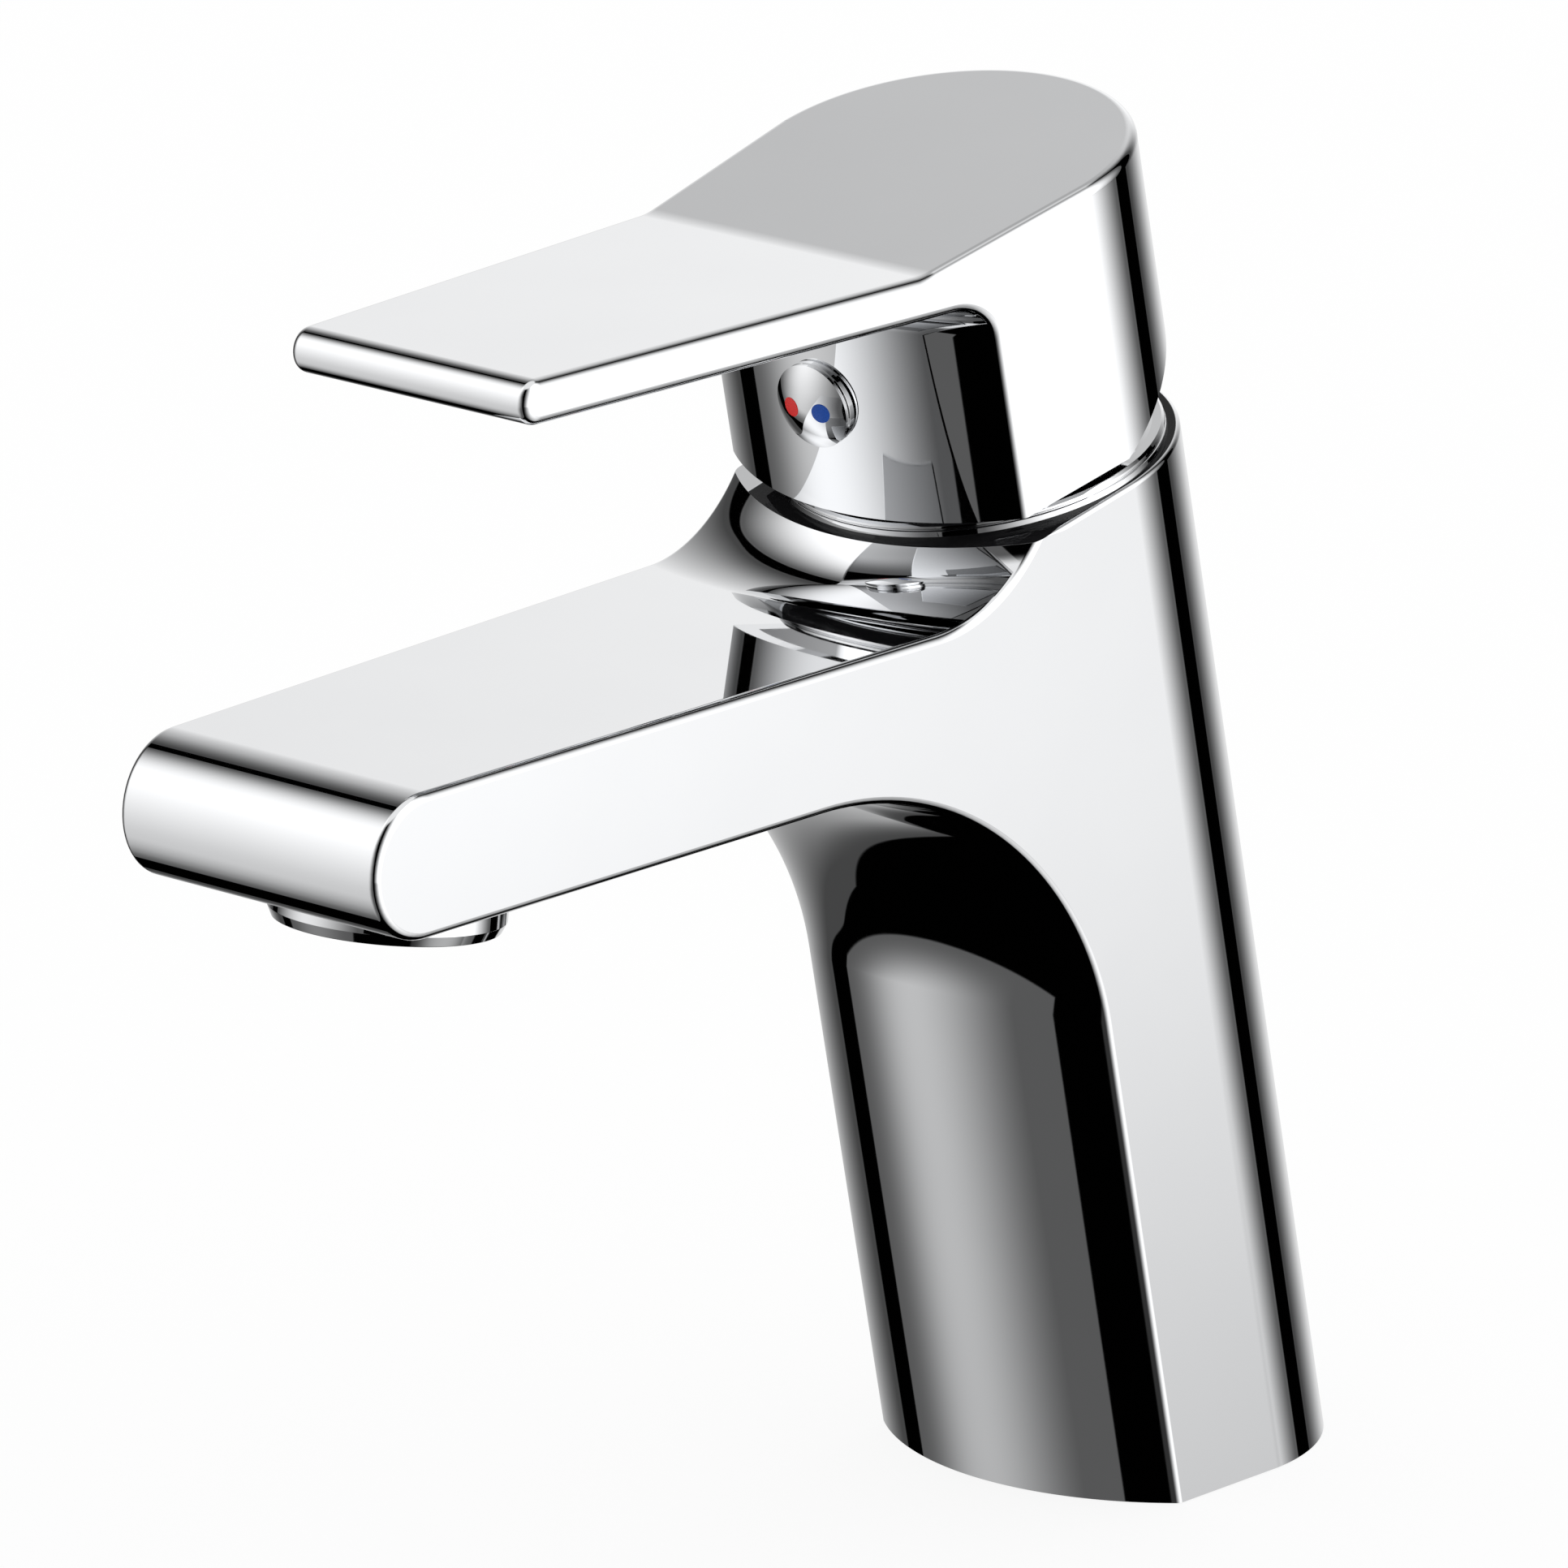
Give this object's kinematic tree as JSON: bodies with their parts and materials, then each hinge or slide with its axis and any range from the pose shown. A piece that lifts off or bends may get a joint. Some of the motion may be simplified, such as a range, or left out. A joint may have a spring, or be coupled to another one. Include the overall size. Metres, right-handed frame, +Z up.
{
  "type": "bathroom mixer faucet",
  "caption": "Single-lever basin mixer with a forward-leaning column, a level spout with a tilted aerator and a flat lever handle that lifts for flow and turns for temperature.",
  "frame": {"origin": "on the deck, at the foot of the leaning axis of the column", "axes": "+Z up from the deck, -Y towards the spout's end, +X to the right seen from the front (the cold side)"},
  "size_m": [0.046, 0.172, 0.1641],
  "materials": {
    "chrome_body": "polished chrome plate on a brass casting",
    "chrome_handle": "polished chrome plate on a zinc casting",
    "chrome_trim": "polished chrome plate",
    "brass": "machined brass, bare",
    "cartridge_plastic": "moulded off-white plastic, satin",
    "rotor_plastic": "moulded grey plastic, satin",
    "valve_ceramic": "lapped white alumina",
    "seal_rubber": "black moulded rubber, matt",
    "steel": "turned stainless steel",
    "aerator_plastic": "moulded light grey plastic, satin",
    "red_enamel": "red enamel, glossy",
    "blue_enamel": "blue enamel, glossy"
  },
  "bodies": {
    "body": {"faucet_body": "chrome_body", "base_seal": "seal_rubber", "cover_ring": "chrome_trim", "retaining_nut": "brass", "cartridge_housing": "cartridge_plastic", "cartridge_base": "cartridge_plastic", "port_seals": "seal_rubber", "fixed_disc": "valve_ceramic", "aerator_housing": "chrome_trim", "aerator_core": "aerator_plastic", "aerator_screen": "aerator_plastic", "aerator_washer": "seal_rubber"},
    "rotor": {"cartridge_rotor": "rotor_plastic", "pivot_pin": "steel"},
    "handle": {"handle": "chrome_handle", "spindle": "steel", "grub_screw": "steel", "index_button": "chrome_trim", "hot_mark": "red_enamel", "cold_mark": "blue_enamel"},
    "slider": {"disc_driver": "rotor_plastic", "moving_disc": "valve_ceramic"}
  },
  "joints": [
    {"name": "temperature_turn", "type": "hinge", "parent": "body", "child": "rotor", "pos_m": [0, -0.02601, 0.1198], "axis": [0, -0.2122, 0.9772], "range_deg": [-45, 45]},
    {"name": "lever_lift", "type": "hinge", "parent": "rotor", "child": "handle", "pos_m": [0, -0.02601, 0.1198], "axis": [-1, 0, 0], "range_deg": [0, 25]},
    {"name": "disc_slide", "type": "slide", "parent": "rotor", "child": "slider", "axis": [0, -0.9772, -0.2122], "range_m": [0, 0.0044]}
  ],
  "couplings": [
    {"joint": "disc_slide", "follows": "lever_lift", "m_per_rad": 0.01}
  ]
}
